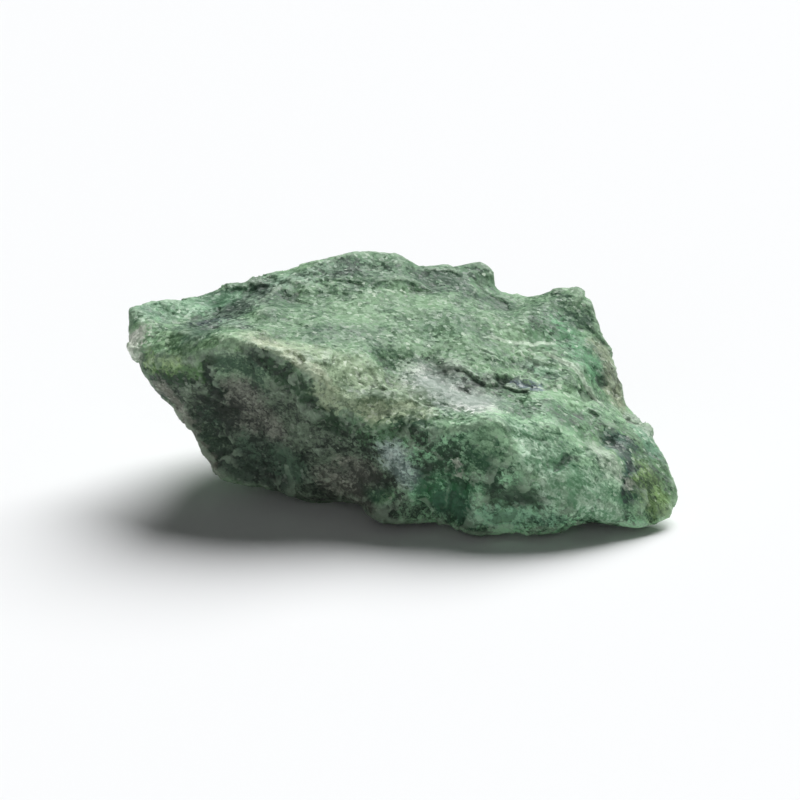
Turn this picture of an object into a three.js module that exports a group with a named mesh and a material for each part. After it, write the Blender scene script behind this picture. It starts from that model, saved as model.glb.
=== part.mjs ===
// A rough stone of white quartz grown through with green diopside, broken from a larger
// lump and lying on its flattest side. It is one piece, so it is one closed mesh.
//
// Frame: millimetres, +Z up, the resting face at z = 0, the origin under the middle of the
// stone's box. +X runs from the sharp, overhanging tip (at -X) to the low blunt nose (at +X),
// and -Y is the broken front.
//
// The stone starts as a cage: the corners where its fracture faces meet, and the faces
// between them. The cage is divided into small triangles, its ridges are worn a little,
// and the layered, chipped and knobbly relief is pressed into it along its normals.

import * as THREE from "three";

// ---- driving dimensions, mm ------------------------------------------------------------

const LONGEST_EDGE = 1.8; // no triangle edge of the cage is left longer than this
const WEAR_PASSES = 2; // how often each ridge is worn towards its neighbours
const WEAR = 0.35; // share of the way that each pass moves a point

// Relief: how far it stands in or out, and the size of one chip, knob or ledge.
const SWELL = { size: 12, height: 0.55 };
const CHIPS = { size: 6.8, height: 0.6 };
const KNOBS = { size: 3.1, height: 0.26 };
const LEDGES = { spacing: 3.1, height: 0.3, wander: 2.2 };

// The mineral layers stand across this direction, so ledges run along the stone's length.
const LAYER_NORMAL = new THREE.Vector3(-0.16, 0.66, 0.73).normalize();

// ---- the cage's corners: [x, y, z] -----------------------------------------------------

const corners = {
  // the rim of the upper side, from the sharp tip round the back to the nose
  tip: [-28.3, -5, 16.5],
  tipBack: [-28.2, 0, 19],
  shelfBack: [-23.5, 5, 18.5],
  shelfEnd: [-17.5, 8, 18.5],
  back1: [-14.5, 10, 19.5],
  back2: [-10, 10, 20.5],
  summit: [-5, 11, 22],
  back3: [-1, 13, 21],
  back4: [2, 14, 19.5],
  peak: [8.5, 15, 19.5],
  back5: [10, 13, 17],
  back6: [13.5, 12, 16.5],
  knob1: [16, 12, 17.5],
  knob2: [19, 11, 17],
  knob3: [20.5, 8, 15.5],
  end1: [22, 6, 12.5],
  end2: [23.5, 2, 9],
  end3: [23.5, 1, 8],
  nose1: [26, -4, 7.5],
  nose2: [27.7, -7, 5.3],
  nose3: [28.2, -10.5, 3.2],
  nose4: [28, -13, 1.8],

  // the foot of the front, from the nose back to the tip
  foot1: [25.2, -15.2, 1.3],
  foot2: [20, -16.5, 1.8],
  foot3: [14.5, -16.5, 0.8],
  foot4: [7, -16.7, 0.2],
  foot5: [3, -15, 1.5],
  foot6: [-2, -15, 1],
  foot7: [-6.5, -10.5, 2],
  foot8: [-10.5, -9.5, 2],
  foot9: [-14, -7.5, 2.5],
  foot10: [-18.5, -6.5, 2.5],
  under1: [-20.5, -6, 6],
  under2: [-23.7, -6, 12],
  under3: [-26.2, -6, 14.2],

  // the ridge between the upper side and the front
  ridge1: [-21.5, -9, 17],
  ridge2: [-16.5, -11, 19.8],
  ridge3: [-14, -12.5, 19.5],
  ridge4: [-10.5, -13, 18],
  ridge5: [-7.5, -14, 15.5],
  ridge6: [-5, -14.5, 13.5],
  ridge7: [-2.5, -15, 12],
  ridge8: [3.5, -16, 12],
  ridge9: [8.5, -15.5, 12.5],
  ridge10: [10.5, -17.5, 9.5],

  // the upper side
  step1: [-24, -1, 17.5],
  step2: [-20.5, 3, 18],
  step3: [-19, -4, 18.5],
  step4: [-14, 4, 19.5],
  slope1: [-6, 1, 18.5],
  slope2: [-1.5, -8, 15],
  slope3: [3.5, 3, 18],
  slope4: [10, 2, 16],
  slope5: [0.5, 8, 19.5],
  slope6: [7, 10, 18.5],
  crease1: [2.5, -3, 15.5],
  crease2: [6, -7.5, 14],
  crease3: [13, -6, 12.8],
  gully1: [3, -4.5, 14.8],
  gully2: [6, -8.5, 13.1],
  gully3: [13, -7, 11.9],
  hollow: [6, -11.5, 13],
  dip: [15, 4, 15.5],
  fall: [18, -2.5, 13],

  // the front and the nose
  brow1: [-20.5, -8.5, 14.5],
  brow2: [-13.5, -11.5, 16.5],
  brow3: [-8.5, -13, 12],
  cheek1: [-10, -10, 6],
  cheek2: [-3.5, -13.5, 7.5],
  cheek3: [1, -15.5, 8],
  cheek4: [8, -18, 5.3],
  cheek5: [15.5, -18.6, 5.6],
  cheek6: [20.8, -17.6, 3.9],
  nostril1: [21.5, -7, 9],
  nostril2: [22.3, -14, 6.2],
  nostril3: [22.6, -16, 3.6],

  // the back
  heel1: [-22, 2, 8],
  heel2: [-20, 10, 9],
  heel3: [-10, 15.5, 11],
  heel4: [4, 17.5, 10],
  heel5: [13, 16, 9],
  heel6: [19, 12, 6],
  heel7: [23, 2, 3],

  // the resting face, set a little below the surface that cuts it flat
  rest1: [-13, 0, -0.45],
  rest2: [0, -8, -0.45],
  rest3: [18, -9, -0.45],
  rest4: [15, 4, -0.45],
  rest5: [2, 10, -0.45],
  rest6: [-12, 7, -0.45],
};

// ---- the cage's faces ------------------------------------------------------------------
// Each is its corners in order, then how far its middle stands out (+) or is hollow (-).

const faces = [
  // upper side
  ["tipBack shelfBack shelfEnd back1 step2 step1", 0.2],
  ["step1 step2 back1 back2 step4 step3", -0.3],
  ["tip tipBack step1 step3 ridge2 ridge1", 0.2],
  ["step3 step4 slope1 ridge4 ridge3 ridge2", 0.3],
  ["slope1 slope3 crease1 gully1 slope2 ridge5 ridge4", 0.3],
  ["ridge5 slope2 gully1 gully2 hollow ridge8 ridge7 ridge6", 0.2],
  ["gully2 gully3 ridge9 ridge8 hollow", 0.2],
  ["crease1 crease2 gully2 gully1", 0],
  ["crease2 crease3 gully3 gully2", 0],
  ["slope3 slope4 crease3 crease2 crease1", 0.3],
  ["step4 back2 summit back3 slope5 slope1", 0.2],
  ["slope5 back3 back4 slope6 slope3 slope1", -0.2],
  ["back4 peak back5 slope6", -0.1],
  ["slope6 back5 back6 slope4 slope3", -0.2],
  ["back6 knob1 knob2 knob3 dip slope4", 0.9],
  ["slope4 dip fall crease3", -0.3],
  ["dip knob3 end1 end2 fall", 0.5],
  ["crease3 fall end2 end3 nostril1", 0.2],

  // front
  ["tip ridge1 brow1 under2 under3", 0.5],
  ["ridge1 ridge2 ridge3 brow2 brow1", 0.2],
  ["ridge3 ridge4 ridge5 brow3 brow2", -0.3],
  ["brow1 brow2 brow3 cheek1 foot9 foot10 under1 under2", -0.9],
  ["brow3 ridge5 ridge6 cheek2 foot7 foot8 foot9 cheek1", 0.2],
  ["ridge6 ridge7 cheek3 foot6 foot7 cheek2", -0.2],
  ["ridge7 ridge8 ridge9 ridge10 cheek4 foot4 foot5 foot6 cheek3", -0.4],
  ["ridge10 cheek5 foot3 foot4 cheek4", -0.4],
  ["cheek5 cheek6 foot2 foot3", 0.2],
  ["cheek5 nostril2 nostril3 cheek6", 0.4],
  ["cheek6 nostril3 foot1 foot2", 0.3],
  ["ridge9 gully3 crease3 nostril1 nostril2 cheek5 ridge10", 0.9],
  ["nostril1 end3 nose1 nose2 nostril2", 0.4],
  ["nostril2 nose2 nose3 nose4 foot1 nostril3", 0.7],

  // underside
  ["rest1 rest2 rest3 rest4 rest5 rest6", -1.7],
  ["foot10 foot9 foot8 foot7 rest2 rest1", 0],
  ["foot7 foot6 foot5 foot4 foot3 rest3 rest2", 0],
  ["foot3 foot2 foot1 nose4 rest3", -0.2],
  ["rest3 nose4 nose3 nose2 nose1 heel7 rest4", -0.5],
  ["under3 under2 under1 foot10 rest1 heel1", 0.3],
  ["heel1 rest1 rest6 heel2", 0.5],

  // back
  ["nose1 end3 end2 end1 heel6 heel7", 0.2],
  ["end1 knob3 knob2 knob1 back6 heel5 heel6", 0.3],
  ["heel7 heel6 rest4", 0.3],
  ["back6 back5 peak back4 back3 heel4 heel5", 0.2],
  ["back3 summit back2 back1 heel3 heel4", 0.5],
  ["back1 shelfEnd shelfBack heel2 heel3", -0.3],
  ["shelfBack tipBack tip under3 heel1 heel2", 0.4],
  ["heel2 rest6 rest5 heel4 heel3", 0.6],
  ["heel4 rest5 rest4 heel6 heel5", 0.4],
];

// ---- repeatable noise ------------------------------------------------------------------

// A number from 0 to 1 that depends only on three whole numbers and a seed.
function hash(i, j, k, seed) {
  let h = Math.imul(i, 374761393) ^ Math.imul(j, 668265263);
  h ^= Math.imul(k, 2147483647) ^ Math.imul(seed, 1274126177);
  h = Math.imul(h ^ (h >>> 13), 1103515245);
  h = Math.imul(h ^ (h >>> 15), 2246822519);
  return ((h ^ (h >>> 16)) >>> 0) / 4294967296;
}

// Smooth noise from -1 to 1, with hills about one unit apart.
function smoothNoise(p, seed) {
  const i = Math.floor(p.x);
  const j = Math.floor(p.y);
  const k = Math.floor(p.z);
  const ease = (t) => t * t * (3 - 2 * t);
  const [fx, fy, fz] = [ease(p.x - i), ease(p.y - j), ease(p.z - k)];
  let sum = 0;
  for (const a of [0, 1])
    for (const b of [0, 1])
      for (const c of [0, 1]) {
        const weight = (a ? fx : 1 - fx) * (b ? fy : 1 - fy) * (c ? fz : 1 - fz);
        sum += weight * hash(i + a, j + b, k + c, seed);
      }
  return 2 * sum - 1;
}

// Broken-facet noise from about -1 to 1: space is split into cells about one unit
// across, and each cell is a plane tilted its own way.
function facetNoise(p, seed) {
  const home = p.clone().floor();
  const seedPoint = new THREE.Vector3();
  let nearest = Infinity;
  let value = 0;
  for (const a of [-1, 0, 1])
    for (const b of [-1, 0, 1])
      for (const c of [-1, 0, 1]) {
        const [i, j, k] = [home.x + a, home.y + b, home.z + c];
        seedPoint.set(
          i + hash(i, j, k, seed),
          j + hash(i, j, k, seed + 1),
          k + hash(i, j, k, seed + 2),
        );
        const away = seedPoint.distanceToSquared(p);
        if (away >= nearest) continue;
        nearest = away;
        const tilt = new THREE.Vector3(
          hash(i, j, k, seed + 3) - 0.5,
          hash(i, j, k, seed + 4) - 0.5,
          hash(i, j, k, seed + 5) - 0.5,
        ).multiplyScalar(2);
        value = tilt.dot(seedPoint.sub(p)) + 0.35 * (hash(i, j, k, seed + 6) - 0.5);
      }
  return value;
}

// ---- building the surface --------------------------------------------------------------

// The cage as points and triangles: each face is a fan round its own middle.
function cageSurface() {
  const names = Object.keys(corners);
  const points = names.map((name) => new THREE.Vector3(...corners[name]));
  const triangles = [];
  const middleOfStone = new THREE.Box3().setFromPoints(points).getCenter(new THREE.Vector3());
  for (const [list, crown] of faces) {
    const ring = list.split(" ").map((name) => names.indexOf(name));
    const middle = new THREE.Vector3();
    const normal = new THREE.Vector3();
    ring.forEach((at) => middle.addScaledVector(points[at], 1 / ring.length));
    ring.forEach((at, n) => {
      const next = points[ring[(n + 1) % ring.length]];
      normal.add(points[at].clone().sub(middle).cross(next.clone().sub(middle)));
    });
    normal.normalize();
    if (normal.dot(middle.clone().sub(middleOfStone)) < 0) {
      ring.reverse();
      normal.negate();
    }
    points.push(middle.addScaledVector(normal, crown));
    const hub = points.length - 1;
    ring.forEach((at, n) => triangles.push([hub, at, ring[(n + 1) % ring.length]]));
  }
  return { points, triangles };
}

// Splits every edge longer than the limit at its middle, until none is left.
function divide(surface, limit) {
  const { points } = surface;
  let { triangles } = surface;
  for (;;) {
    const middles = new Map();
    const middleOf = (a, b) => {
      if (points[a].distanceTo(points[b]) <= limit) return -1;
      const key = a < b ? `${a} ${b}` : `${b} ${a}`;
      if (!middles.has(key)) {
        points.push(points[a].clone().lerp(points[b], 0.5));
        middles.set(key, points.length - 1);
      }
      return middles.get(key);
    };
    const divided = [];
    for (const [a, b, c] of triangles) {
      const corner = [a, b, c];
      const middle = [middleOf(a, b), middleOf(b, c), middleOf(c, a)];
      const cuts = middle.filter((m) => m >= 0).length;
      if (cuts === 0) divided.push(corner);
      if (cuts === 3) {
        divided.push(middle);
        for (const n of [0, 1, 2]) divided.push([corner[n], middle[n], middle[(n + 2) % 3]]);
      }
      if (cuts === 1) {
        const n = middle.findIndex((m) => m >= 0);
        const far = corner[(n + 2) % 3];
        divided.push([corner[n], middle[n], far], [middle[n], corner[(n + 1) % 3], far]);
      }
      if (cuts === 2) {
        const n = middle.findIndex((m) => m < 0);
        const [p, q, r] = [corner[n], corner[(n + 1) % 3], corner[(n + 2) % 3]];
        const [nearQ, nearP] = [middle[(n + 1) % 3], middle[(n + 2) % 3]];
        divided.push([nearQ, r, nearP]);
        if (points[p].distanceTo(points[nearQ]) < points[q].distanceTo(points[nearP]))
          divided.push([p, q, nearQ], [p, nearQ, nearP]);
        else divided.push([p, q, nearP], [q, nearQ, nearP]);
      }
    }
    triangles = divided;
    if (middles.size === 0) return { points, triangles };
  }
}

// Which points each point is joined to.
function neighboursOf({ points, triangles }) {
  const neighbours = points.map(() => new Set());
  for (const corner of triangles)
    corner.forEach((at, n) => neighbours[at].add(corner[(n + 1) % 3]).add(corner[(n + 2) % 3]));
  return neighbours;
}

// Moves each point a share of the way to the mean of its neighbours.
function wear({ points, triangles }, passes, share) {
  const neighbours = neighboursOf({ points, triangles });
  for (let pass = 0; pass < passes; pass++) {
    const means = neighbours.map((around) => {
      const mean = new THREE.Vector3();
      around.forEach((at) => mean.addScaledVector(points[at], 1 / around.size));
      return mean;
    });
    points.forEach((point, n) => point.lerp(means[n], share));
  }
}

// How far the relief stands out at a point.
function reliefAt(point) {
  const scaled = (size) => point.clone().divideScalar(size);
  const wander = LEDGES.wander * smoothNoise(scaled(9), 41);
  const layer = (point.dot(LAYER_NORMAL) + wander) / LEDGES.spacing;
  const ledge = layer - Math.floor(layer) - 0.5;
  return (
    SWELL.height * smoothNoise(scaled(SWELL.size), 7) +
    CHIPS.height * facetNoise(scaled(CHIPS.size), 11) +
    KNOBS.height * facetNoise(scaled(KNOBS.size), 23) +
    LEDGES.height * ledge
  );
}

// Presses the relief into the surface along its normals, and cuts the rest flat at z = 0.
function roughen({ points, triangles }) {
  const normals = points.map(() => new THREE.Vector3());
  for (const [a, b, c] of triangles) {
    const normal = points[b].clone().sub(points[a]).cross(points[c].clone().sub(points[a]));
    for (const at of [a, b, c]) normals[at].add(normal);
  }
  points.forEach((point, n) => {
    point.addScaledVector(normals[n].normalize(), reliefAt(point));
    point.z = Math.max(point.z, 0);
  });
}

function stoneGeometry() {
  const surface = divide(cageSurface(), LONGEST_EDGE);
  wear(surface, WEAR_PASSES, WEAR);
  roughen(surface);
  const geometry = new THREE.BufferGeometry().setFromPoints(surface.points);
  geometry.setIndex(surface.triangles.flat());
  geometry.computeBoundingBox();
  const middle = geometry.boundingBox.getCenter(new THREE.Vector3());
  geometry.translate(-middle.x, -middle.y, 0);
  geometry.computeVertexNormals();
  return geometry;
}

// ---- the part --------------------------------------------------------------------------

const quartzWithDiopside = new THREE.MeshStandardMaterial({
  color: 0x7d9c7e,
  roughness: 0.6,
  metalness: 0,
});

const stone = new THREE.Mesh(stoneGeometry(), quartzWithDiopside);
stone.name = "stone";

const part = new THREE.Group();
part.add(stone);

export default part;
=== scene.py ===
# %% [markdown]
# # Dressing a raw stone of quartz and diopside
#
# The stone is one natural lump: white and grey quartz grown through with green diopside.
# It broke out of a larger rock, and little has worn it since. Its skin is made of broken
# facets a few millimetres across, thin ledges where the mineral layers tore, and sugary
# grains of a millimetre at most.
#
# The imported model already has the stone's form at its real size. Here its skin is made
# finer and given its minerals. The frame comes first, because everything is measured
# from it.

# %% Load the frame
from math import cos, degrees, radians, sin

import bpy
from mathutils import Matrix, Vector


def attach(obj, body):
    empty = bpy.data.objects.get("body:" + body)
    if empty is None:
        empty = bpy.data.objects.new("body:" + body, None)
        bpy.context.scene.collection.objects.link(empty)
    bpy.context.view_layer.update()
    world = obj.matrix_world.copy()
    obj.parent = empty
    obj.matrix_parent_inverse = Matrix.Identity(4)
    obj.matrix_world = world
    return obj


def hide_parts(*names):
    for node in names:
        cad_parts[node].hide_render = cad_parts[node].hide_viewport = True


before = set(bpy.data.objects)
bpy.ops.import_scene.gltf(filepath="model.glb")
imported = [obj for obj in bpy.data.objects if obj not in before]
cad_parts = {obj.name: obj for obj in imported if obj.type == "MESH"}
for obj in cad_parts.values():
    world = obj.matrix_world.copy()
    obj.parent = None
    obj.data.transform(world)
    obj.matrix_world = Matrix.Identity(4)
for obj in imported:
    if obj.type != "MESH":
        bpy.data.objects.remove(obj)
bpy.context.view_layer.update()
MM = 0.001  # Blender works in metres, and this stone is easier to think of in millimetres

# %% [markdown]
# ## The skin
#
# The real stone's skin was made by breaking. It could be sculpted by hand, or left to
# displacement in the material. Sculpting can't be repeated in a script, and displacement
# in the material leaves no real shape behind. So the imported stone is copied, remeshed
# into an even net that is finer than a grain, and pressed into relief by nodes that are
# then applied to the mesh.
#
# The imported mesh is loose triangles, so the copy is merged first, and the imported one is
# left as it is.

# %% Copy and merge the stone
def select_only(piece):
    """Operators act on all that is selected, so this leaves one piece selected."""
    bpy.ops.object.select_all(action="DESELECT")
    piece.select_set(True)
    bpy.context.view_layer.objects.active = piece


SAME_PLACE = 0.001 * MM  # corners closer than this are one corner
skin = bpy.data.objects.new("stone_skin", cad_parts["stone"].data.copy())
bpy.context.scene.collection.objects.link(skin)
select_only(skin)
bpy.ops.object.mode_set(mode="EDIT")
bpy.ops.mesh.select_all(action="SELECT")
bpy.ops.mesh.remove_doubles(threshold=SAME_PLACE)
bpy.ops.object.mode_set(mode="OBJECT")
print("corners after merging:", len(skin.data.vertices))

# %% Remesh it into an even net
def finish(piece, kind, **settings):
    """Adds a modifier with these settings and applies it to the mesh."""
    modifier = piece.modifiers.new(kind.lower(), kind)
    for name, value in settings.items():
        setattr(modifier, name, value)
    select_only(piece)
    bpy.ops.object.modifier_apply(modifier=modifier.name)


NET = 0.17 * MM  # about half a grain
SMOOTHING = 8  # passes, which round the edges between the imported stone's triangles
finish(skin, "REMESH", mode="VOXEL", voxel_size=NET)
finish(skin, "SMOOTH", factor=0.5, iterations=SMOOTHING)
print("faces in the net:", len(skin.data.polygons))

# %% [markdown]
# ## Building with nodes
#
# The relief and the colours are both node trees, and they share their places: a hollow
# in the relief is also dark in colour. One small function adds a node, so that a tree
# reads like a recipe from top to bottom.

# %% One function that adds a node
def add(tree, kind, *values, **named):
    """Names in small letters are the node's settings, and decide which sockets it has.
    Values go into its open sockets in order, and a name with a capital goes into the
    socket of that name. A value may be another node, which stands for its first output."""
    node = tree.nodes.new(kind)
    for name, value in named.items():
        if name[0].islower():
            setattr(node, name, value)
    sockets = [socket for socket in node.inputs if socket.enabled]
    filled = list(zip(sockets, values))
    for name, value in named.items():
        if name[0].isupper():
            filled += [(s, value) for s in sockets if s.name == name.replace("_", " ")][:1]
    for socket, value in filled:
        if isinstance(value, bpy.types.Node):
            value = next(output for output in value.outputs if output.enabled)
        if isinstance(value, bpy.types.NodeSocket):
            tree.links.new(value, socket)
        else:
            socket.default_value = value
    return node


relief = bpy.data.node_groups.new("relief", "GeometryNodeTree")
for way in ("INPUT", "OUTPUT"):
    relief.interface.new_socket("Geometry", in_out=way, socket_type="NodeSocketGeometry")
skin_in = add(relief, "NodeGroupInput")
place = add(relief, "GeometryNodeInputPosition")
outward = add(relief, "GeometryNodeInputNormal")
print("the relief starts from:", ", ".join(node.name for node in relief.nodes))

# %% [markdown]
# ## Edges that wander
#
# No edge in a rock is straight. Each edge could be drawn crooked, but there are hundreds.
# Here a pattern with edges is drawn at a point that has first been moved a little by a
# cloudy noise, so that all its edges wander at once.
#
# A noise is drawn on a grid, and each seed is a slice through it. At a whole number the
# slice lies in the grid itself, and the grid shows as straight lines. So no seed here is
# a whole number.

# %% A wandering point
def wandering(tree, point, size, reach, seed):
    """The point, moved by up to `reach` in clouds of this size."""
    cloud = add(
        tree, "ShaderNodeTexNoise", point, noise_dimensions="4D",
        W=seed, Scale=1 / size, Detail=3.0, Roughness=0.6,
    )
    centred = add(
        tree, "ShaderNodeVectorMath", cloud.outputs["Color"], [0.5] * 3, operation="SUBTRACT"
    )
    # The noise rarely leaves the middle half of its range, hence 4 rather than 2.
    return add(
        tree, "ShaderNodeVectorMath", centred, [4 * reach] * 3, point, operation="MULTIPLY_ADD"
    )


loose = wandering(relief, place, 3 * MM, 0.5 * MM, seed=1.37)
print("nodes so far:", len(relief.nodes))

# %% [markdown]
# ## Broken facets
#
# A fresh break in this rock has a few large facets and smaller ones inside them. They are
# planes with sharp edges, because the stone parted along its crystals. Noise alone would
# give soft swellings. Cells that are each a plane tilted its own way give flats that meet
# at edges, so three sizes of them are laid over each other.
#
# Each kind of relief is a height in millimetres and a pattern, kept in one list. Later the
# skin is moved out or in by the sum of them.

# %% Facets in three sizes
STEEPNESS = 2.5  # this makes the planes reach from about -1 to 1


def facets(tree, point, size):
    """Cells of this size, each a plane tilted its own way."""
    cells = add(
        tree, "ShaderNodeTexVoronoi", point, feature="SMOOTH_F1",
        Scale=1 / size, Smoothness=0.05,
    )
    away = add(
        tree, "ShaderNodeVectorMath", point, cells.outputs["Position"], operation="SUBTRACT"
    )
    tilt = add(
        tree, "ShaderNodeVectorMath", cells.outputs["Color"], [0.5] * 3, operation="SUBTRACT"
    )
    slope = add(tree, "ShaderNodeVectorMath", away, tilt, operation="DOT_PRODUCT")
    return add(tree, "ShaderNodeMath", slope, STEEPNESS / size, operation="MULTIPLY")


FACETS = {4.2: 0.24, 1.8: 0.12, 0.9: 0.05}  # how wide, and how far they stand out
heights = [(high, facets(relief, loose, wide * MM)) for wide, high in FACETS.items()]
print("facets, mm:", FACETS)

# %% [markdown]
# ## Layers and fibres
#
# The minerals grew in thin layers that were bent while the rock was hot, so fibres and
# streaks run along the stone and dip towards its nose. Stretching space along the layers
# turns round noise into fibres, which is simpler than drawing each fibre.

# %% Where the layers lie
LAYER_NORMAL = Vector((-0.16, 0.66, 0.73)).normalized()  # the layers lie square to this
BEND = 6.0  # per metre: how fast they dip towards the nose
BEND_START = 20 * MM  # how far behind the middle they lie level


def along_layers(tree, point, stretch):
    """The point in a space where patterns come out longer along the layers than across."""
    eastward = add(tree, "ShaderNodeSeparateXYZ", point)
    from_tip = add(tree, "ShaderNodeMath", eastward, BEND_START, operation="ADD")
    squared = add(tree, "ShaderNodeMath", from_tip, 2.0, operation="POWER")
    bent = add(tree, "ShaderNodeMath", squared, BEND, operation="MULTIPLY")
    across = add(tree, "ShaderNodeVectorMath", point, LAYER_NORMAL, operation="DOT_PRODUCT")
    lifted = add(
        tree, "ShaderNodeMath", across, 1 - 1 / stretch, bent, operation="MULTIPLY_ADD"
    )
    lift = add(tree, "ShaderNodeVectorMath", LAYER_NORMAL, Scale=lifted, operation="SCALE")
    return add(
        tree, "ShaderNodeVectorMath", point, [1 / stretch] * 3, lift, operation="MULTIPLY_ADD"
    )


print("layers stand, degrees from level:", round(degrees(LAYER_NORMAL.angle((0, 0, 1)))))

# %% Swells, fibres, sugar and pits
# A smooth step stays between its ends by itself. A clamp would only cost memory, and the
# material below has so many steps that the renderer would run out of it.
SMOOTH = {"interpolation_type": "SMOOTHSTEP", "clamp": False}
SWELL, FIBRE, SUGAR, PIT = 2.4 * MM, 0.6 * MM, 0.45 * MM, 1.1 * MM
FIBRE_STRETCH = 4.0  # a fibre is this many times as long as it is wide
swells = add(
    relief, "ShaderNodeTexNoise", loose, noise_dimensions="4D",
    W=2.43, Scale=1 / SWELL, Detail=4.0, Roughness=0.5,
)
in_layers = along_layers(relief, loose, FIBRE_STRETCH)
fibres = add(
    relief, "ShaderNodeTexNoise", in_layers, noise_dimensions="4D",
    W=3.39, Scale=1 / FIBRE, Detail=2.0, Roughness=0.5,
)
sugar = add(
    relief, "ShaderNodeTexNoise", place, noise_dimensions="4D",
    W=5.43, Scale=1 / SUGAR, Detail=2.0, Roughness=0.5,
)
pits = add(
    relief, "ShaderNodeTexNoise", loose, noise_dimensions="4D",
    W=4.36, Scale=1 / PIT, Detail=2.0, Roughness=0.5,
)
PITTED = (0.68, 0.76)  # only the noise's few highest places are pits
pitted = add(relief, "ShaderNodeMapRange", pits, *PITTED, 0.0, 1.0, **SMOOTH)
heights += [(0.2, swells), (0.09, fibres), (0.07, sugar), (-0.12, pitted)]
print("kinds of relief so far:", len(heights))

# %% [markdown]
# ## Places on the stone
#
# So far this could be any stone from the quarry. What makes it this one is where it broke
# and where each mineral lies. A place could be painted on the mesh with a brush, but that
# can't be read or changed later. Here each place is a line on the skin and how far it
# reaches, all in mm, because a vein, a ledge or a patch is longer than it is wide.

# %% Near a line
def near(tree, point, start, end, radius, edge=0.5):
    """1 near the line from start to end, and 0 further off than its radius, all in mm.
    The edge is the share of the radius over which it fades."""
    start, run = Vector(start) * MM, (Vector(end) - Vector(start)) * MM
    from_start = add(tree, "ShaderNodeVectorMath", point, start, operation="SUBTRACT")
    along = add(
        tree, "ShaderNodeVectorMath", from_start, run / run.length_squared,
        operation="DOT_PRODUCT",
    )
    share = add(tree, "ShaderNodeClamp", along)
    nearest = add(tree, "ShaderNodeVectorMath", run, Scale=share, operation="SCALE")
    off = add(tree, "ShaderNodeVectorMath", from_start, nearest, operation="DISTANCE")
    inner, outer = radius * (1 - edge) * MM, radius * (1 + edge) * MM
    return add(tree, "ShaderNodeMapRange", off, inner, outer, 1.0, 0.0, **SMOOTH)


QUARTZ_FACE = ((-18, -8, 14), (-6, -11, 4), 8)
SLAB = ((-11, -2, 19.5), (6, 2, 17), 7)
KNOB = ((14, 7, 17), (18.5, 2, 13.5), 4.5)
CHEEK = ((10, -12, 11), (22, -10, 7), 6)
SHELF = ((-25, 0, 18), (-19, 4, 18.5), 3)
FOLDED_BAND = ((-19.5, -1.5, 18.2), (-13.2, 6.6, 19.6), 2.3)
folds = add(
    relief, "ShaderNodeMath", fibres, near(relief, loose, *FOLDED_BAND), operation="MULTIPLY"
)
heights.append((0.22, folds))
band_start, band_end, band_reach = FOLDED_BAND
print("folded band, mm:", round((Vector(band_end) - Vector(band_start)).length), "by", 2 * band_reach)

# %% [markdown]
# ## Ledges, hollows and chips
#
# Where a layer broke off, its edge stands up as a ledge, sharp on one side and lost in the
# slope on the other. Where softer mineral fell out there is a hollow, and the rim has lost
# chips. These are few and can be seen one by one, so each is placed by itself.

# %% Steps in the layers
STEP_HALF = 0.12  # mm: half the width of the slope below a ledge


def past(tree, point, start, side):
    """How far the point lies past the start, towards this side, in mm."""
    from_start = add(
        tree, "ShaderNodeVectorMath", point, Vector(start) * MM, operation="SUBTRACT"
    )
    return add(
        tree, "ShaderNodeVectorMath", from_start, Vector(side).normalized() / MM,
        operation="DOT_PRODUCT",
    )


def step(tree, point, start, end, reach, side):
    """1 on this side of the line and 0 on the other, and dying out further off."""
    over = past(tree, point, start, side)
    over = add(tree, "ShaderNodeMapRange", over, -STEP_HALF, STEP_HALF, 0.0, 1.0, **SMOOTH)
    close = near(tree, point, start, end, reach, 1.0)
    return add(tree, "ShaderNodeMath", over, close, operation="MULTIPLY")


# From, to and reach; then which side stands higher, and by how much.
LEDGES = [
    ((3.4, -2.8, 15.2), (5.8, -6.3, 14), 1.6, (0.9, 0.4, 0.2), 0.15),
    ((-18, -3.6, 18.4), (-12.5, 6.5, 20), 3.2, (0.85, -0.5, 0.1), 0.32),
    ((-19.4, 2.1, 18), (-15, 7.6, 19.4), 1.3, (-0.78, 0.6, 0.1), 0.22),
    ((16.1, 0.2, 13.6), (19.3, -2, 10.9), 2.2, (0.5, 0.8, -0.06), 0.3),
    ((13.5, -10.5, 10.5), (12, -14, 8.5), 3.0, (0.9, 0.2, 0.3), 0.3),
]
heights += [(high, step(relief, loose, *line)) for *line, high in LEDGES]
print("highest ledge, mm:", max(ledge[-1] for ledge in LEDGES))

# %% Hollows and chips
# From, to and reach; then how deep. Hollows are darkened in the colour with dirt and painted shade, and
# chips are as clean as the rest.
HOLLOWS = [
    ((21.6, -8.8, 7.7), (23.2, -11.4, 6.4), 0.6, 0.15),
    ((23.2, -11.4, 6.4), (22.3, -14.7, 4.4), 0.5, 0.12),
    ((10.8, -17, 5.2), (14.5, -17.6, 4.9), 1.0, 0.12),
    ((10, -5.3, 13.5), (13, -4.8, 12.9), 0.55, 0.3),
    ((17.5, -6.9, 10.3), (18.2, -7.4, 10.1), 0.45, 0.2),
    ((16.4, -14.7, 8.1), (17.2, -14.3, 8.2), 0.45, 0.15),
    ((20.4, 0.7, 11), (20.9, 1.1, 10.7), 0.5, 0.25),
    ((-9.2, 0.5, 19), (-8.6, 0.2, 19), 0.4, 0.25),
    ((-19.7, -9.4, 16.4), (-18.8, -8.4, 13.4), 0.4, 0.35),
]
CHIPS = [
    ((-7, -12.8, 15), (-0.5, -12.9, 13.2), 2.0, 0.45),
    ((-14.5, -11.5, 19.3), (-12, -12.5, 18.4), 0.8, 0.3),
]
HOLLOW_FADE = 0.6  # share of the reach over which a hollow's side slopes
for *line, deep in HOLLOWS + CHIPS:
    heights.append((-deep, near(relief, loose, *line, HOLLOW_FADE)))
print("hollows:", len(HOLLOWS), "and chips:", len(CHIPS))

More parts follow.
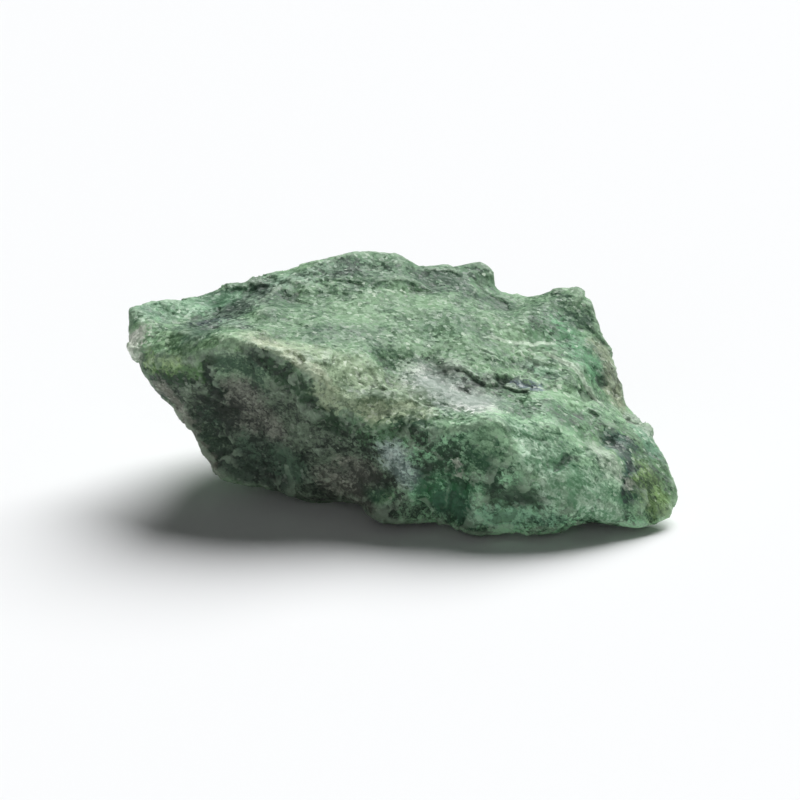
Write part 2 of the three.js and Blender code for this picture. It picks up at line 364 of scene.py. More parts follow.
# %% [markdown]
# ## Calm places
#
# The rock didn't break equally rough everywhere. The quartz face came away clean, the slab
# on top and the cheek beside the nose are felted with fibres that tore short, and the foot
# of the nose is worn. Each such place has a calm from 0 to 1. The skin is blurred there,
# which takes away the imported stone's own small facets, and the relief is made lower. The
# crease behind the white quartz is blurred too, but its relief stays as high as anywhere.

# %% Blur the calm places
CALM = [
    (QUARTZ_FACE, 0.4),
    (SLAB, 0.6),
    (KNOB, 0.55),
    (CHEEK, 0.6),
    (SHELF, 0.5),
    (((2, -7, 14), (9, -11.5, 12.5), 3), 0.5),
    (((-8, 9, 20.5), (8, 12, 18.5), 3.5), 0.45),
    (((-7, -12.5, 15), (1, -12.5, 13), 2), 0.5),
    (((21, -15.5, 2), (26.5, -12, 2), 2.2), 0.6),
]
BLUR_PASSES = 40
calm = 0.0
for line, share in CALM:
    here_calm = add(
        relief, "ShaderNodeMath", near(relief, place, *line), share, operation="MULTIPLY"
    )
    calm = add(relief, "ShaderNodeMath", here_calm, calm, operation="MAXIMUM")
CREASE = ((6, -5.6, 14.2), (13, -5, 13), 1.4)
CREASE_BLUR = 0.8
in_crease = add(
    relief, "ShaderNodeMath", near(relief, place, *CREASE), CREASE_BLUR, operation="MULTIPLY"
)
blur = add(relief, "ShaderNodeMath", calm, in_crease, operation="MAXIMUM")
blurred = add(
    relief, "GeometryNodeBlurAttribute", data_type="FLOAT_VECTOR",
    Value=place, Iterations=BLUR_PASSES, Weight=blur,
)
soft = add(relief, "GeometryNodeSetPosition", skin_in, Position=blurred)
print("calm places:", len(CALM))

# %% [markdown]
# ## Pressing the relief
#
# The heights are added up, and the skin moves out or in by the sum. A few places are also
# moved one by one, where the real stone stands a little fuller than the imported one.
#
# The material will need to know two things about the skin, so they are stored on the mesh
# as attributes: which way each place faces before the relief, and how far it stands out of
# its surroundings after it. The second is found by letting the shape blur and comparing.
# An attribute travels with the mesh, where a bake would need an image.

# %% Move the skin by the sum of the heights
MIDDLE = -0.18  # the noises lie round one half, and this brings the sum back round zero
height = MIDDLE
for millimetres, pattern in heights:
    height = add(
        relief, "ShaderNodeMath", pattern, millimetres, height, operation="MULTIPLY_ADD"
    )
rough = add(relief, "ShaderNodeMath", 1.0, calm, operation="SUBTRACT")
height = add(relief, "ShaderNodeMath", height, rough, operation="MULTIPLY")
facing = add(
    relief, "GeometryNodeStoreNamedAttribute", soft, data_type="FLOAT_VECTOR",
    Name="facing", Value=outward,
)
outward_mm = add(relief, "ShaderNodeVectorMath", outward, Scale=MM, operation="SCALE")
shift = add(relief, "ShaderNodeVectorMath", outward_mm, Scale=height, operation="SCALE")
print("kinds of relief in all:", len(heights))

# %% Move a few places further
# These are the foot of the nose, the left tip, the knob, the peak, the summit, and the slope
# under the crease in two parts. From, to and reach; then how far the skin moves, in mm.
MOVED_FADE = 0.9
MOVED = [
    ((23.5, -13, 1.2), (27, -10.5, 2), 2.6, (0.9, -0.4, -1.4)),
    ((-27, -0.4, 18.4), (-23.8, 2.2, 18.6), 2.0, (-0.1, 0.1, 0.75)),
    ((18.2, 10.8, 16.7), (19.3, 9.4, 16), 1.6, (0.6, 0.1, 0.7)),
    ((8.4, 14.6, 18.7), (9, 14.4, 18.2), 1.5, (0.8, 0, 0.45)),
    ((-2.6, 12.1, 21), (-0.6, 12, 20.5), 1.8, (0, 0, 0.45)),
    ((11, -5.6, 13.2), (12.6, -5.5, 13), 0.8, (0, 0.1, -0.3)),
    ((10.8, -6.9, 12.4), (12.8, -6.7, 12.2), 0.8, (0, -0.1, 0.3)),
]
for start, end, reach, way in MOVED:
    close = near(relief, place, start, end, reach, MOVED_FADE)
    shift = add(
        relief, "ShaderNodeVectorMath", close, Vector(way) * MM, shift, operation="MULTIPLY_ADD"
    )
pressed = add(relief, "GeometryNodeSetPosition", facing, Offset=shift)
print("furthest move, mm:", round(max(Vector(move[-1]).length for move in MOVED), 1))

# %% Stand it on its resting face, and measure what stands proud
apart = add(relief, "ShaderNodeSeparateXYZ", place)
above = add(relief, "ShaderNodeMath", apart.outputs["Z"], 0.0, operation="MAXIMUM")
level = add(relief, "ShaderNodeCombineXYZ", apart, apart.outputs["Y"], above)
grounded = add(relief, "GeometryNodeSetPosition", pressed, Position=level)

PROUD_PASSES = 36  # enough to blur away what is under about a millimetre wide
around = add(
    relief, "GeometryNodeBlurAttribute", data_type="FLOAT_VECTOR",
    Value=place, Iterations=PROUD_PASSES,
)
proud = add(relief, "ShaderNodeVectorMath", place, around, operation="SUBTRACT")
bulge = add(relief, "ShaderNodeVectorMath", proud, outward, operation="DOT_PRODUCT")
bulge_mm = add(relief, "ShaderNodeMath", bulge, 1 / MM, operation="MULTIPLY")
bulged = add(
    relief, "GeometryNodeStoreNamedAttribute", grounded, data_type="FLOAT",
    Name="bulge", Value=bulge_mm,
)
add(relief, "NodeGroupOutput", bulged)
print("nodes in the relief:", len(relief.nodes))

# %% Apply it, and thin the net where it is flat
KEPT = 0.45  # share of the triangles, which leaves more of them at edges than on flats
finish(skin, "NODES", node_group=relief)
finish(skin, "DECIMATE", ratio=KEPT)
select_only(skin)
bpy.ops.object.shade_smooth()
print("skin triangles:", sum(len(face.vertices) - 2 for face in skin.data.polygons))

# %% [markdown]
# ## The material: broken quartz with diopside
#
# Diopside is green because of a little chromium and iron. It grew here as a felt of short
# fibres in sugary quartz, so the eye sees green mottling from bottle green to pale sage,
# with a fine salt-and-pepper grain, white where quartz gathers, and almost no shine. The
# break is fresh: it is rough like coarse paper, with a dull glint from single grains.
#
# The mottling could be one colour ramp over one noise. Here every place has two colours, a
# deep one and a pale one, and the same mottling mixes them everywhere. So a white patch or
# a dark face keeps the grain of the rock around it, as it does in the real stone.

# %% Colours
def linear(hex_code):
    """The linear colour that an sRGB hex value such as "8fa88c" stands for."""
    shares = [int(hex_code[at:at + 2], 16) / 255 for at in (0, 2, 4)]
    return [s / 12.92 if s <= 0.04045 else ((s + 0.055) / 1.055) ** 2.4 for s in shares] + [1.0]


DIOPSIDE = ("345a40", "84ad82")  # deep and pale, wherever nothing else is said
print("pale diopside, linear:", [round(share, 2) for share in linear(DIOPSIDE[1])])

# %% [markdown]
# ## Where each mineral lies
#
# Each mineral has a name, its deep and pale colour, how fully it covers what is under it,
# which way the face has to look, and the lines it lies along in mm. A line may end with its
# own share of fading, where the mineral dies out slowly. Later ones cover earlier ones. The
# broken front is darker and greener than the rest, and its left end is nearly clean grey
# quartz.

# %% The minerals of the quartz face
MINERALS = [
    ("rich diopside", "052a0e", "9ad6a6", 0.92, "down", [((1, -15, 9), (24, -15, 4), 7)]),
    ("grey quartz", "1c281e", "6a7b67", 0.95, "down", [QUARTZ_FACE]),
    ("weathered quartz", "42644a", "97ba94", 0.75, "down", [((-18.5, -9.6, 17), (-14.9, -10.2, 16), 1.8)]),
    ("pinkish quartz", "3c3e38", "97978c", 0.6, "down", [((-16, -8, 13), (-13.4, -8.2, 8.6), 2.3)]),
    (
        "green skin", "12291a", "4a6b54", 0.8, "down",
        [((-14.8, -7.6, 6.6), (-10.5, -9.2, 5.2), 2.1), ((-19.2, -6.6, 11), (-18.6, -6.3, 8.6), 0.8)],
    ),
    (
        "brown stain", "50544a", "a2a496", 0.65, "down",
        [((-6.6, -11, 4.4), (-3, -12.6, 3.2), 1.8), ((-4.8, -11.4, 6.8), (-3.2, -12.2, 6), 1.2)],
    ),
    # The dark foot is painted shade along the bottom of the quartz face.
    ("painted shade at the foot", "141f17", "3f5145", 0.85, "down", [((-18.2, -6.2, 4.4), (-12, -8, 3), 1.7)]),
    # On the broken front, the dark seam is painted shade under the rim and under the lip, and in the slit
    # below the lip.
    (
        "dark seam", "0b2211", "284a2c", 1.0, "down",
        [
            ((-13.8, -11, 17.6), (-10.9, -11.8, 15.6), 1.1),
            ((-10.9, -11.8, 15.6), (-7.8, -12.8, 12.8), 1.0),
            ((-7.8, -12.8, 12.8), (-5.6, -12.8, 10.6), 1.1),
            ((-23.7, -6.9, 13.8), (-21.6, -7.8, 14.2), 0.9),
            ((-19.7, -9.4, 16.4), (-18.7, -8.3, 13.2), 0.7),
        ],
    ),
]
print("minerals so far:", len(MINERALS))

# %% The minerals of the green front
MINERALS += [
    ("mossy diopside", "102c14", "467248", 0.85, "any", [((-4, -13.4, 10.6), (1.4, -14.3, 11), 1.1)]),
    ("blue quartz", "6c847c", "cddfd9", 0.8, "any", [((-1, -14.1, 8.4), (1.2, -14.6, 6.2), 1.5)]),
    (
        "bottle-green diopside", "08200e", "1e4626", 0.95, "down",
        [((9.4, -16.8, 5), (13.4, -17.3, 5.4), 1.5), ((8.2, -15.6, 10.2), (9.6, -16.9, 8.2), 1.2)],
    ),
    ("emerald diopside", "2f7044", "94d4a2", 0.8, "any", [((3, -14.6, 5), (6.4, -15.6, 5.2), 1.9)]),
    # The pale foot is painted light along the bottom of the front, where light bounces up from the floor.
    (
        "painted bounce light at the foot", "3f6e54", "93c2a4", 0.6, "any",
        [((4, -15.6, 3), (15.5, -17, 2.8), 1.1), ((4.2, -15.2, 4.4), (6.5, -15.7, 4.4), 1.1)],
    ),
]
print("minerals so far:", len(MINERALS))

# %% [markdown]
# The upper side is paler. Light passes a little way into the torn fibres there, and along
# the rim the stone has weathered to cream. The slab's mottling is faint, so its two
# colours lie close together.

# %% The minerals of the slab and the rim
MINERALS += [
    ("silky diopside", "466d4c", "85aa83", 0.75, "up", [SLAB]),
    ("greyed diopside", "345640", "6e9170", 0.85, "up", [((-8, -4.3, 18.1), (-3.2, -2.3, 17.4), 1.8)]),
    ("powdery diopside", "316843", "a4d2a6", 0.75, "any", [CHEEK]),
    ("yellowed rim", "768c68", "c4d3b0", 0.5, "up", [((-14, -9, 19), (1, -10, 14), 2.4)]),
    ("cream rim", "879873", "dbe4c8", 0.8, "up", [((-13.5, -9.5, 19), (-7.5, -12.8, 15.7), 1.4)]),
    (
        "cream rim", "627a56", "c0d0aa", 0.7, "any",
        [((-7.6, -12.8, 15.4), (-2.6, -12.6, 12.8), 1.3), ((-2.6, -12.4, 13), (3, -12.5, 12.8), 1.1)],
    ),
    (
        "white quartz", "94a498", "f8faf4", 0.95, "any",
        [((3.4, -6.6, 14), (7.6, -9.8, 12.8), 2.6, 0.75), ((5.6, -10.4, 13), (7.4, -11, 12.4), 1.3)],
    ),
]
print("minerals so far:", len(MINERALS))

# %% The minerals of the crease and the folded band
MINERALS += [
    # The dark crease is painted shade along the crease behind the white quartz.
    (
        "painted crease shade", "122a1a", "3e5e44", 0.9, "any",
        [
            ((3.1, -3.2, 15), (5.9, -5.2, 14.7), 0.45), ((6.5, -7.2, 13.5), (9.7, -5.4, 13.4), 0.7),
            ((9.7, -5.4, 13.4), (13.3, -4.7, 12.9), 1.15), ((9.8, -6.2, 13), (12.4, -5.7, 12.8), 1.1),
        ],
    ),
    ("grey-blue diopside", "2c3c44", "8094a0", 0.85, "any", [((12, -5.2, 13.1), (14, -4.6, 12.7), 0.85)]),
    (
        "folded band", "20382c", "80a288", 0.78, "any",
        [
            FOLDED_BAND, ((-13.2, 6.6, 19.6), (-4.5, 9.5, 20.6), 1.5),
            ((-17.8, -2.6, 18.3), (-15.8, -5, 18.9), 1.4),
        ],
    ),
    ("shaded peak", "2f5039", "6a9070", 0.65, "any", [((-3, 11, 20.5), (9, 11.5, 18.5), 3.2)]),
]
print("minerals so far:", len(MINERALS))

# %% The minerals of the shelf and the knob
MINERALS += [
    (
        "pale shelf", "4f7f5c", "9ac6a0", 0.8, "up",
        [((-26, 0.3, 18.4), (-19.5, 4.6, 18.4), 2.0), ((-20, 3.6, 18.3), (-16.4, 6.4, 18.9), 1.2)],
    ),
    ("dark streak", "14302e", "3a5850", 0.95, "up", [((-21.2, -1.8, 18), (-18.6, -0.9, 17.9), 1.0)]),
    ("pale diopside", "5a8660", "a2caa0", 0.6, "up", [((2.6, 0, 16.7), (6.2, -0.2, 16.4), 1.5)]),
    ("emerald diopside", "16522c", "5fa676", 0.65, "any", [((16.5, 5.8, 15.4), (19.5, 1.4, 12.6), 2.2)]),
    (
        "dark diopside", "173a20", "64926b", 0.72, "any",
        [
            ((14, 5.6, 16), (15.2, 2.8, 14.6), 1.9), ((16.6, -9.8, 10.6), (19, -7.8, 9.7), 1.8),
            ((13.8, -9.2, 12.1), (15.2, -8.2, 11.7), 1.4),
        ],
    ),
    (
        "dark diopside", "173a20", "588560", 0.85, "any",
        [((17, -9.4, 10.4), (19.2, -11.2, 8.9), 1.2), ((11.4, -10.2, 12.1), (12.6, -10.6, 11.8), 0.9)],
    ),
]
print("minerals so far:", len(MINERALS))

# %% The minerals of the tip
MINERALS += [
    # The white tip is whitish quartz made paler still as painted light, because the tip faces left and
    # down, away from the key light.
    ("white tip with painted light", "bac8b2", "f4f8ec", 0.92, "any", [((-27.2, -5.2, 16.2), (-26.6, -3.6, 17.1), 1.2)]),
    # The pale ridge is a painted highlight along the ridge above the lip.
    (
        "painted ridge highlight", "4c7048", "a0c898", 0.75, "any",
        [((-23, -7.5, 17.2), (-16.5, -9.9, 19.3), 0.9), ((-23.4, -4.6, 17.6), (-22.4, -5.4, 17.7), 1.2)],
    ),
    (
        "green lip", "1c3a1c", "608a54", 0.8, "any",
        [((-22.6, -7.9, 15.4), (-20.4, -8.6, 15.6), 0.95), ((-20.6, -9, 16.1), (-19, -9.5, 16.8), 0.7)],
    ),
    # The yellow-green lip is diopside made paler as painted light, because the lip faces down and forward,
    # away from the key light.
    ("yellow-green lip with painted light", "3f6834", "a8c888", 0.9, "any", [((-24.9, -6.7, 15.6), (-23, -7.7, 15.7), 1.05)]),
    ("pale edge", "74776a", "c6c9bc", 0.8, "any", [((-24, -5.6, 12.8), (-19, -5.4, 3.2), 0.95)]),
]
print("minerals so far:", len(MINERALS))

# %% The minerals of the nose
MINERALS += [
    ("brown edge", "5c5a48", "a8a48e", 0.55, "any", [((20.9, 5.4, 13), (22.6, 0.8, 9.4), 1.4)]),
    ("dark nose", "1c3e27", "638c5f", 0.8, "any", [((22.5, -10, 7.2), (27, -8, 5), 4.4)]),
    ("blue-green nose", "285646", "6fa58b", 0.5, "any", [((24.6, -4.6, 7.2), (26, -6.4, 6.2), 1.3)]),
    ("yellow-green nose", "26461f", "80a35e", 0.85, "any", [((24.4, -11.6, 5.2), (26, -12.6, 3), 2.2)]),
    ("grey nose", "66786a", "b0bfae", 0.55, "any", [((23.7, -1, 7.7), (25.2, -3.6, 7.4), 1.2)]),
    ("sugary quartz", "6f8c72", "d5e4d2", 0.5, "any", [((20, -11.6, 7.9), (21.2, -13.6, 6.4), 1.2)]),
    (
        "sugary quartz", "508c5e", "bce2c0", 0.55, "any",
        [
            ((12.2, -14.4, 10.8), (12.6, -16.8, 8.6), 1.0), ((13.6, -14, 10.2), (15.4, -14.8, 9), 1.1),
            ((16.8, -16.6, 6.4), (20.8, -15.6, 4.2), 2.1),
        ],
    ),
]
print("minerals so far:", len(MINERALS))

# %% Pale grains and the dark seam behind them
MINERALS += [
    (
        "pale diopside", "6a9c74", "cce8ce", 0.8, "any",
        [
            ((15.8, -17.4, 5.8), (18.9, -16.1, 5.8), 1.7), ((12.4, -14.4, 10.6), (15.2, -15, 9.3), 1.2),
            ((18.2, -16.5, 4), (21.6, -15.8, 3), 1.2), ((13.8, -15.8, 8.8), (15, -16.4, 7.8), 1.3),
            ((13.6, -0.6, 13.6), (15.4, -1.8, 13.1), 0.9),
        ],
    ),
    # The blue-green seam is blue-green diopside darkened with painted shade, in the groove between the
    # cheek and the nose.
    (
        "blue-green seam with painted shade", "15312a", "40675a", 0.85, "any",
        [
            ((21.4, -8.4, 7.9), (23, -11.6, 6.4), 1.2), ((23, -11.6, 6.4), (22.6, -14.2, 4.6), 0.8),
            ((22.4, -7.8, 7.8), (24.2, -8.8, 7.1), 0.8),
        ],
    ),
    (
        "white quartz", "a4b09c", "ecf0e2", 0.85, "any",
        [((22.9, -12.9, 5.6), (23.4, -13.4, 5.2), 0.65), ((6.2, -15.1, 7.9), (6.4, -15.1, 7.5), 0.5)],
    ),
]
print("minerals so far:", len(MINERALS))

# %% [markdown]
# The back and the underside have to hold up in the hand, so they carry the same minerals
# in patches of their own. One even green would look like a coat of paint.

# %% The minerals that only a hand turns up
MINERALS += [
    ("weathered diopside", "32523c", "7ea27f", 0.6, "any", [((-18, 10, 9), (18, 13, 7), 9)]),
    ("white quartz", "8a998a", "e4eae2", 0.8, "any", [((-7, 13, 14), (1, 17, 9), 3.0)]),
    ("grey quartz", "3c4a3e", "8a9a88", 0.7, "any", [((9, 14, 10), (18, 10, 6), 3.5)]),
    ("brown stain", "4a4034", "9a8c78", 0.5, "any", [((-19, 4, 11), (-15, 8, 6), 2.5)]),
    ("rich diopside", "123c1f", "74aa80", 0.7, "any", [((-14, 9, 15), (-10, 13, 8), 3.5)]),
    ("white quartz", "8a998a", "dfe6dc", 0.7, "down", [((2, -2, 0), (12, 4, 0), 3.5)]),
    ("dark seam", "16361f", "44684a", 0.8, "any", [((4, 17, 6), (14, 14, 2.5), 1.4)]),
]
print("minerals in all:", len(MINERALS))

# %% [markdown]
# ## Laying the minerals
#
# A patch of mineral has a ragged edge at two sizes: it bends over a few millimetres and it
# frays over less than one. So its line is measured from a point that has wandered twice.
# What weathered lies only on faces that look up, and what is fresh on the others.
#
# The stone is made of grains, and each grain is wholly one mineral, so an edge between two
# minerals is a mix of grains and never a soft blur. The grains are cells, drawn out a
# little along the layers. The ones that show best are 0.5 to 1 mm across, and there are
# many finer ones between them, so the cells are 0.3 mm. Each has its own chance, which
# moves it as a whole to one side of the edge or the other.

# %% Where the material looks things up
rock = bpy.data.materials.new("broken quartz with diopside")
rock.use_nodes = True
tree = rock.node_tree
tree.nodes.clear()
here = add(tree, "ShaderNodeTexCoord").outputs["Object"]
faces = add(tree, "ShaderNodeAttribute", attribute_name="facing").outputs["Vector"]
faces_up = add(tree, "ShaderNodeSeparateXYZ", faces).outputs["Z"]
LOOKS_UP = (0.05, 0.45)  # the facing's Z, for nearly upright and for plainly looking up
up = add(tree, "ShaderNodeMapRange", faces_up, *LOOKS_UP, 0.0, 1.0, **SMOOTH)
down = add(tree, "ShaderNodeMath", 1.0, up, operation="SUBTRACT")
covers = {"up": up, "down": down, "any": 1.0}
WIND, WIND_REACH = 2.6 * MM, 0.9 * MM
FRAY, FRAY_REACH = 0.7 * MM, 0.3 * MM
winding = wandering(tree, here, WIND, WIND_REACH, seed=6.41)
ragged = wandering(tree, winding, FRAY, FRAY_REACH, seed=12.37)
print("a patch may lie on faces that look:", ", ".join(covers))

# %% Grains
GRAIN = 0.3 * MM
GRAIN_STRETCH = 1.2  # how many times as long as wide
GRAIN_REACH = 0.8 * MM  # how wide the mix of grains is at an edge
in_layers = along_layers(tree, here, GRAIN_STRETCH)
grains = add(tree, "ShaderNodeTexVoronoi", in_layers, Scale=1 / GRAIN)
by_chance = add(
    tree, "ShaderNodeVectorMath", grains.outputs["Color"], [0.5] * 3, operation="SUBTRACT"
)
grainy = add(
    tree, "ShaderNodeVectorMath", by_chance, [GRAIN_REACH] * 3, ragged, operation="MULTIPLY_ADD"
)
print("grains, mm:", round(GRAIN / MM, 1))

# %% Mix the deep and the pale colours
deep, pale = (linear(colour) for colour in DIOPSIDE)
for _, deep_hex, pale_hex, strength, looks, lines in MINERALS:
    for line in lines:
        spread = add(
            tree, "ShaderNodeMath", near(tree, grainy, *line), strength, operation="MULTIPLY"
        )
        spread = add(tree, "ShaderNodeMath", spread, covers[looks], operation="MULTIPLY")
        deep = add(tree, "ShaderNodeMix", spread, deep, linear(deep_hex), data_type="RGBA")
        pale = add(tree, "ShaderNodeMix", spread, pale, linear(pale_hex), data_type="RGBA")
print("patches:", sum(len(patch[-1]) for patch in MINERALS))
print("minerals:", ", ".join(sorted({patch[0] for patch in MINERALS})))

# %% [markdown]
# ## Mottling and grain
#
# The felt of fibres is green in clouds of five or six millimetres, with mottles inside
# them that are broken up again and again down to single grains. So the mottles have many
# octaves and follow the layers. Each grain is lighter or darker than its neighbour by
# chance.

# %% Mottles and grains
CLOUD, MOTTLE, FINE = 5.5 * MM, 2.6 * MM, 0.2 * MM
MOTTLE_STRETCH = 1.8
clouds = add(
    tree, "ShaderNodeTexNoise", winding, noise_dimensions="4D",
    W=8.4, Scale=1 / CLOUD, Detail=2.0, Roughness=0.5,
)
in_layers = along_layers(tree, winding, MOTTLE_STRETCH)
mottles = add(
    tree, "ShaderNodeTexNoise", in_layers, noise_dimensions="4D",
    W=7.38, Scale=1 / MOTTLE, Detail=7.0, Roughness=0.68,
)
chance = add(tree, "ShaderNodeSeparateColor", grains.outputs["Color"])
fine = add(
    tree, "ShaderNodeTexNoise", here, noise_dimensions="4D",
    W=10.37, Scale=1 / FINE, Detail=3.0, Roughness=0.6,
)
print("clouds and mottles, mm:", round(CLOUD / MM, 1), round(MOTTLE / MM, 1))

# %% From deep to pale
paleness = mottles
for pattern, share in [(clouds, 0.7), (chance, 0.14), (fine, 0.4)]:
    paleness = add(tree, "ShaderNodeMath", pattern, share, paleness, operation="MULTIPLY_ADD")
DEEPEST, PALEST = 0.95, 1.3  # the sums at which a place is wholly deep or wholly pale
# The mottles are a little sharper on the broken front than where the skin has weathered.
deepest = add(tree, "ShaderNodeMath", down, 0.05, DEEPEST, operation="MULTIPLY_ADD")
palest = add(tree, "ShaderNodeMath", down, -0.06, PALEST, operation="MULTIPLY_ADD")
mix = add(tree, "ShaderNodeMapRange", paleness, deepest, palest, 0.0, 1.0, **SMOOTH)
colour = add(tree, "ShaderNodeMix", mix, deep, pale, data_type="RGBA")
print("a place is deep under", DEEPEST, "and pale over", PALEST)

# %% Specks
# Dark specks of iron-rich diopside lie in the pale parts too.
IRON_RICH = "1c3524"
SPECK = 0.8 * MM
SPECK_COVER = 0.6
SPECKLED = (0.60, 0.72)  # only the noise's highest places are specks
specks = add(
    tree, "ShaderNodeTexNoise", here, noise_dimensions="4D",
    W=9.42, Scale=1 / SPECK, Detail=4.0, Roughness=0.6,
)
speckled = add(tree, "ShaderNodeMapRange", specks, *SPECKLED, 0.0, SPECK_COVER, **SMOOTH)
colour = add(tree, "ShaderNodeMix", speckled, colour, linear(IRON_RICH), data_type="RGBA")
print("specks, mm:", round(SPECK / MM, 1))

# %% Hairline cracks
# They run between clumps of grains, and dirt shows them on the broken front.
CRACK_DIRT = "142418"
CRACK_COVER = 0.25
CRACK_WIDTH = 0.07  # share of a clump
CLUMP = 2.2 * MM
clumps = add(
    tree, "ShaderNodeTexVoronoi", ragged, feature="DISTANCE_TO_EDGE", Scale=1 / CLUMP
)
cracks = add(tree, "ShaderNodeMapRange", clumps, 0.0, CRACK_WIDTH, CRACK_COVER, 0.0, **SMOOTH)
cracks = add(tree, "ShaderNodeMath", cracks, down, operation="MULTIPLY")
colour = add(tree, "ShaderNodeMix", cracks, colour, linear(CRACK_DIRT), data_type="RGBA")
print("clumps, mm:", round(CLUMP / MM, 1))

# %% White points, painted glints
# Single grains of clear quartz catch the light, most of all on the upper side. These glints are painted
# into the colour as white points, stronger on faces that look up, where the key light falls.
PAINTED_GLINT = "dfe6d8"
POINT_COVER = 0.4
CLEAR = (0.90, 0.97)  # a grain's chance, from 0 to 1: few grains are this clear
clearness = chance.outputs["Green"]
points = add(tree, "ShaderNodeMapRange", clearness, *CLEAR, 0.0, POINT_COVER, **SMOOTH)
points = add(tree, "ShaderNodeMath", points, mix, operation="MULTIPLY")
lit = add(tree, "ShaderNodeMath", up, 0.6, 0.4, operation="MULTIPLY_ADD")
points = add(tree, "ShaderNodeMath", points, lit, operation="MULTIPLY")
colour = add(tree, "ShaderNodeMix", points, colour, linear(PAINTED_GLINT), data_type="RGBA")
print("nodes in the material so far:", len(tree.nodes))

# %% [markdown]
# ## Veins, dirt and bruises, with painted shade and highlight
#
# White quartz filled cracks that crossed the stone, so a vein is a thin sheet through it
# and shows as a line wherever it meets the skin. The hollows are darkened with dirt and with
# painted shade. Edges that stood proud were knocked when the stone was handled and are
# bruised pale, and that paleness is also a painted highlight on the proud edges. The
# attribute that was stored for this says where they are.

# %% Veins
VEIN_FADE = 0.6  # share of its reach over which a vein dies out


def sheet(tree, point, start, end, reach, side, half):
    """1 in a thin sheet that runs through the line, square to the side: a vein is one."""
    off = add(tree, "ShaderNodeMath", past(tree, point, start, side), operation="ABSOLUTE")
    inside = add(tree, "ShaderNodeMapRange", off, half * 0.5, half * 1.5, 1.0, 0.0, **SMOOTH)
    close = near(tree, point, start, end, reach, VEIN_FADE)
    return add(tree, "ShaderNodeMath", inside, close, operation="MULTIPLY")


# From, to and reach; then which way the sheet faces.
VEINS = [
    ((16.1, 0.2, 13.6), (19.3, -2, 10.9), 1.8, (0.5, 0.8, -0.06)),
    ((10.5, 1.3, 15.2), (14.5, 2.5, 14.6), 1.4, (-0.12, 0.84, 0.52)),
]
VEIN_HALF = 0.22  # mm: half its width
VEIN_COVER = 0.8
VEIN_QUARTZ = "d0e6cc"
# This wanders just as the relief does, so a vein that runs along a ledge stays on it.
crooked = wandering(tree, here, 3 * MM, 0.5 * MM, seed=1.37)
for line in VEINS:
    vein = sheet(tree, crooked, *line, VEIN_HALF)
    vein = add(tree, "ShaderNodeMath", vein, VEIN_COVER, operation="MULTIPLY")
    colour = add(tree, "ShaderNodeMix", vein, colour, linear(VEIN_QUARTZ), data_type="RGBA")
print("veins:", len(VEINS), "and each is, mm wide:", 2 * VEIN_HALF)

# %% Dirt and painted shade in the hollows
# Hollows and sunk places are darkened: partly dirt, partly painted shade.
HOLLOW_DIRT_AND_SHADE, FINE_DIRT_AND_SHADE = "1c2c26", "1b3122"
HOLLOW_COVER, FINE_COVER = 0.5, 0.45
for start, end, reach, _ in HOLLOWS:
    hollow = near(tree, ragged, start, end, reach)
    hollow = add(tree, "ShaderNodeMath", hollow, HOLLOW_COVER, operation="MULTIPLY")
    colour = add(tree, "ShaderNodeMix", hollow, colour, linear(HOLLOW_DIRT_AND_SHADE), data_type="RGBA")
bulges = add(tree, "ShaderNodeAttribute", attribute_name="bulge").outputs["Fac"]
SUNK = (-0.10, -0.02)  # mm below the surroundings: wholly darkened with dirt and painted shade, and clean
sunk = add(tree, "ShaderNodeMapRange", bulges, *SUNK, FINE_COVER, 0.0, **SMOOTH)
colour = add(tree, "ShaderNodeMix", sunk, colour, linear(FINE_DIRT_AND_SHADE), data_type="RGBA")
print("hollows with dirt:", len(HOLLOWS))

# %% Bruised edges, with painted highlight
# Proud edges are painted paler: partly bruising, partly painted highlight where they catch the light.
BRUISE_AND_HIGHLIGHT = "b9d2b6"
BRUISE_COVER = 0.3
PROUD = (0.03, 0.12)  # mm above the surroundings: sound, and wholly bruised and lit with painted highlight
bruised = add(tree, "ShaderNodeMapRange", bulges, *PROUD, 0.0, BRUISE_COVER, **SMOOTH)
colour = add(tree, "ShaderNodeMix", bruised, colour, linear(BRUISE_AND_HIGHLIGHT), data_type="RGBA")
print("nodes in the material so far:", len(tree.nodes))

# %% [markdown]
# ## Shine
#
# Quartz and diopside are glassy, but a break through thousands of grains sends the light
# every way, so the stone looks dull with a glint here and there. Each grain is tilted its
# own way, and has its own dullness.

# %% Shine and fine roughness
QUARTZ_IOR = 1.55
GLOSSIEST, DULLEST = 0.45, 0.85
TILT = 0.5
BUMP_HEIGHT = 0.08 * MM
normal = add(tree, "ShaderNodeNewGeometry").outputs["Normal"]
tilted = add(
    tree, "ShaderNodeVectorMath", by_chance, [TILT] * 3, normal, operation="MULTIPLY_ADD"
)
tilted = add(tree, "ShaderNodeVectorMath", tilted, operation="NORMALIZE")
bump = add(
    tree, "ShaderNodeBump", Strength=0.5, Distance=BUMP_HEIGHT, Height=fine, Normal=tilted
)
dullness = add(
    tree, "ShaderNodeMapRange", chance.outputs["Blue"], 0.0, 1.0, GLOSSIEST, DULLEST,
    clamp=False,
)
shader = add(
    tree, "ShaderNodeBsdfPrincipled",
    Base_Color=colour, Roughness=dullness, IOR=QUARTZ_IOR, Normal=bump,
)
add(tree, "ShaderNodeOutputMaterial", shader)
print("nodes in the material:", len(tree.nodes))

# %% Dress the stone
skin.data.materials.clear()
skin.data.materials.append(rock)
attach(skin, "root")
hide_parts("stone")
print(skin.name, "stands for the packed stone")

# %% [markdown]
# ## The floor
#
# The stone lies on a sheet of pale paper, large enough that its edge is never seen. A
# floor that is nearly white shows the stone's own colours and its shadow, and lights the
# overhanging front from below.

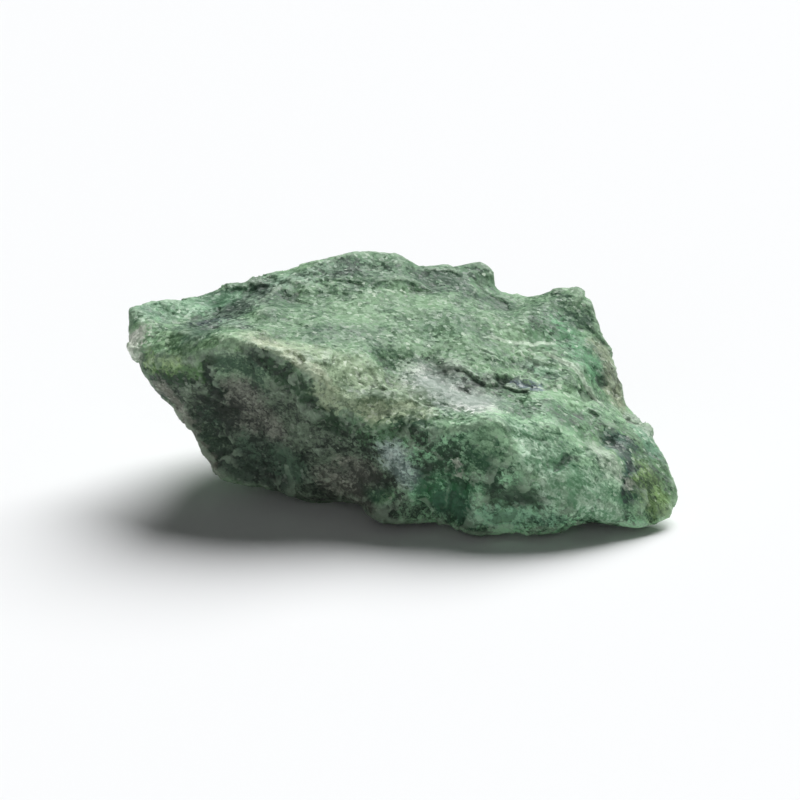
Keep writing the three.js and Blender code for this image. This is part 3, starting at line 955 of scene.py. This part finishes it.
# %% Lay the floor
FLOOR_REACH = 2.0  # metres
bpy.ops.object.select_all(action="DESELECT")
bpy.ops.mesh.primitive_circle_add(
    vertices=96, radius=FLOOR_REACH, fill_type="NGON", location=(0, 0, 0)
)
floor = bpy.context.object
floor.name = "floor"
paper = bpy.data.materials.new("pale paper")
paper.use_nodes = True
paper_shader = paper.node_tree.nodes["Principled BSDF"]
paper_shader.inputs["Base Color"].default_value = linear("eff0f1")
paper_shader.inputs["Roughness"].default_value = 0.9
floor.data.materials.append(paper)
print("floor, metres across:", round(floor.dimensions.x, 1))

# %% [markdown]
# ## The light
#
# One large soft light stands high behind the stone on the right. It grazes the upper side,
# which brings out the layers, and leaves the front in open shade. A weak fill from low in
# front keeps the shade readable. Both are suns, so the light is as even on the floor as on
# the stone, and a sun's angle is how soft its shadows are.

# %% Set the lights
LIGHTS = {  # strength, how wide in degrees, and from where
    "key": (4.2, 50, Vector((0.3, 0.55, 0.78))),
    "fill": (0.6, 60, Vector((-0.15, -0.95, 0.17))),
}
SKY = 0.04
for name, (strength, wide, towards) in LIGHTS.items():
    bpy.ops.object.light_add(type="SUN", location=towards)
    lamp = bpy.context.object
    lamp.name = name
    lamp.data.energy = strength
    lamp.data.angle = radians(wide)
    lamp.rotation_mode = "QUATERNION"
    lamp.rotation_quaternion = towards.to_track_quat("Z", "Y")
scene = bpy.context.scene
scene.view_settings.view_transform = "Standard"
scene.world = bpy.data.worlds.new("studio")
scene.world.use_nodes = True
background = scene.world.node_tree.nodes["Background"]
background.inputs["Color"].default_value = linear("f4f6f8")
background.inputs["Strength"].default_value = SKY
print("lights:", ", ".join(LIGHTS))

# %% [markdown]
# ## The camera
#
# The stone is seen from a little above, square to its front, through a long lens that
# hardly bends its shape.

# %% Place the camera
VIEW_HEIGHT = radians(20)
VIEW_DISTANCE = 480 * MM
VIEW_WIDTH = 82 * MM
AIM_HEIGHT = 9.3 * MM
target = Vector((0, 0, AIM_HEIGHT))
back = Vector((0, -cos(VIEW_HEIGHT), sin(VIEW_HEIGHT)))
bpy.ops.object.camera_add(location=target + back * VIEW_DISTANCE)
camera = bpy.context.object
camera.rotation_mode = "QUATERNION"
camera.rotation_quaternion = back.to_track_quat("Z", "Y")
camera.data.lens = camera.data.sensor_width * VIEW_DISTANCE / VIEW_WIDTH
camera.data.clip_start = 10 * MM
scene.camera = camera
print("lens, mm:", round(camera.data.lens))
